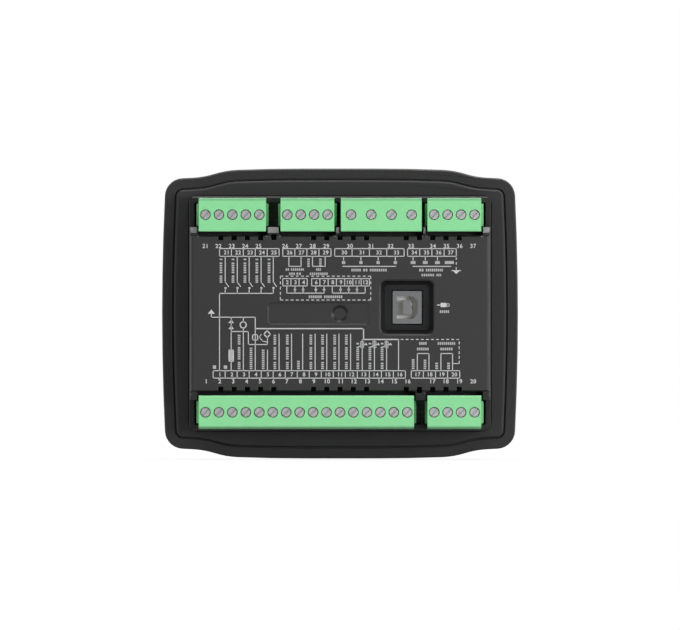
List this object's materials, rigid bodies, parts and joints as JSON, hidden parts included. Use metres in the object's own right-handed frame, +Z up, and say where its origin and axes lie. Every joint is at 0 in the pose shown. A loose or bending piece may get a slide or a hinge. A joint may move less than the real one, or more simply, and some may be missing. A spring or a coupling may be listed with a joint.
{
  "type": "lighting tower controller",
  "caption": "Panel-mounted generator and lighting tower control module with a wide bezel, a screen and a row of keys, a box body behind, plug-in screw terminal blocks and a data socket.",
  "frame": {"origin": "centre of the panel cut-out, in the plane where the gasket meets the panel's front", "axes": "+Z up as it is mounted; the screen and keys face -Y; +Y points into the panel, out of the back with the terminals; +X is to the right as seen from the front"},
  "size_m": [0.135, 0.044, 0.11],
  "materials": {
    "bezel_plastic": "fine moulded grain",
    "housing_plastic": "fine moulded grain",
    "gasket_rubber": "matt",
    "film": "satin printed film",
    "lens": "clear",
    "screen_glass": "grey green",
    "backlight_plastic": "white diffuser",
    "dark_plastic": "matt",
    "board": "lacquered",
    "spacer_metal": "turned",
    "screw_metal": "nickel plated",
    "shell_metal": "tin plated",
    "insulator_plastic": "smooth",
    "contact_metal": "gold plated",
    "pin_metal": "tin plated",
    "clear_plastic": "clear",
    "chip_plastic": "smooth",
    "relay_plastic": "smooth",
    "can_metal": "sleeved",
    "key_plastic": "satin",
    "header_plastic": "smooth",
    "plug_plastic": "smooth, light green",
    "clamp_metal": "nickel plated"
  },
  "bodies": {
    "case": {"front_bezel": "bezel_plastic", "rear_housing": "housing_plastic", "panel_gasket": "gasket_rubber", "front_film": "film", "display_lens": "lens", "lcd_glass": "screen_glass", "lcd_backlight": "backlight_plastic", "lcd_frame": "dark_plastic", "display_board": "board", "main_board": "board", "board_spacers": "spacer_metal", "board_screws": "screw_metal", "board_link": "dark_plastic", "usb_shell": "shell_metal", "usb_insulator": "insulator_plastic", "usb_contacts": "contact_metal", "header_pins": "pin_metal", "key_switches": "dark_plastic", "light_pipes": "clear_plastic", "indicator_leds": "chip_plastic", "relays": "relay_plastic", "capacitors": "can_metal", "current_transformers": "dark_plastic", "processor": "dark_plastic", "header_1_16": "header_plastic", "header_17_20": "header_plastic", "header_21_25": "header_plastic", "header_26_29": "header_plastic", "header_30_33": "header_plastic", "header_34_37": "header_plastic"},
    "plug_body_1_16": {"plug_1_16": "plug_plastic", "screws_1_16": "screw_metal", "clamps_1_16": "clamp_metal"},
    "plug_body_17_20": {"plug_17_20": "plug_plastic", "screws_17_20": "screw_metal", "clamps_17_20": "clamp_metal"},
    "plug_body_21_25": {"plug_21_25": "plug_plastic", "screws_21_25": "screw_metal", "clamps_21_25": "clamp_metal"},
    "plug_body_26_29": {"plug_26_29": "plug_plastic", "screws_26_29": "screw_metal", "clamps_26_29": "clamp_metal"},
    "plug_body_30_33": {"plug_30_33": "plug_plastic", "screws_30_33": "screw_metal", "clamps_30_33": "clamp_metal"},
    "plug_body_34_37": {"plug_34_37": "plug_plastic", "screws_34_37": "screw_metal", "clamps_34_37": "clamp_metal"},
    "key_body_stop": {"key_stop": "key_plastic"},
    "key_body_manual": {"key_manual": "key_plastic"},
    "key_body_auto": {"key_auto": "key_plastic"},
    "key_body_start": {"key_start": "key_plastic"},
    "key_body_lamps": {"key_lamps": "key_plastic"},
    "key_body_scroll": {"key_scroll": "key_plastic"}
  },
  "joints": [
    {"name": "plug_1_16_pull", "type": "slide", "parent": "case", "child": "plug_body_1_16", "axis": [0, 1, 0], "range_m": [0, 0.014]},
    {"name": "plug_17_20_pull", "type": "slide", "parent": "case", "child": "plug_body_17_20", "axis": [0, 1, 0], "range_m": [0, 0.014]},
    {"name": "plug_21_25_pull", "type": "slide", "parent": "case", "child": "plug_body_21_25", "axis": [0, 1, 0], "range_m": [0, 0.014]},
    {"name": "plug_26_29_pull", "type": "slide", "parent": "case", "child": "plug_body_26_29", "axis": [0, 1, 0], "range_m": [0, 0.014]},
    {"name": "plug_30_33_pull", "type": "slide", "parent": "case", "child": "plug_body_30_33", "axis": [0, 1, 0], "range_m": [0, 0.014]},
    {"name": "plug_34_37_pull", "type": "slide", "parent": "case", "child": "plug_body_34_37", "axis": [0, 1, 0], "range_m": [0, 0.014]},
    {"name": "key_stop_press", "type": "slide", "parent": "case", "child": "key_body_stop", "axis": [0, 1, 0], "range_m": [0, 0.0006], "stiffness_N_per_m": 2000, "springref_m": -0.0004},
    {"name": "key_manual_press", "type": "slide", "parent": "case", "child": "key_body_manual", "axis": [0, 1, 0], "range_m": [0, 0.0006], "stiffness_N_per_m": 2000, "springref_m": -0.0004},
    {"name": "key_auto_press", "type": "slide", "parent": "case", "child": "key_body_auto", "axis": [0, 1, 0], "range_m": [0, 0.0006], "stiffness_N_per_m": 2000, "springref_m": -0.0004},
    {"name": "key_start_press", "type": "slide", "parent": "case", "child": "key_body_start", "axis": [0, 1, 0], "range_m": [0, 0.0006], "stiffness_N_per_m": 2000, "springref_m": -0.0004},
    {"name": "key_lamps_press", "type": "slide", "parent": "case", "child": "key_body_lamps", "axis": [0, 1, 0], "range_m": [0, 0.0006], "stiffness_N_per_m": 2000, "springref_m": -0.0004},
    {"name": "key_scroll_press", "type": "slide", "parent": "case", "child": "key_body_scroll", "axis": [0, 1, 0], "range_m": [0, 0.0006], "stiffness_N_per_m": 2000, "springref_m": -0.0004}
  ]
}
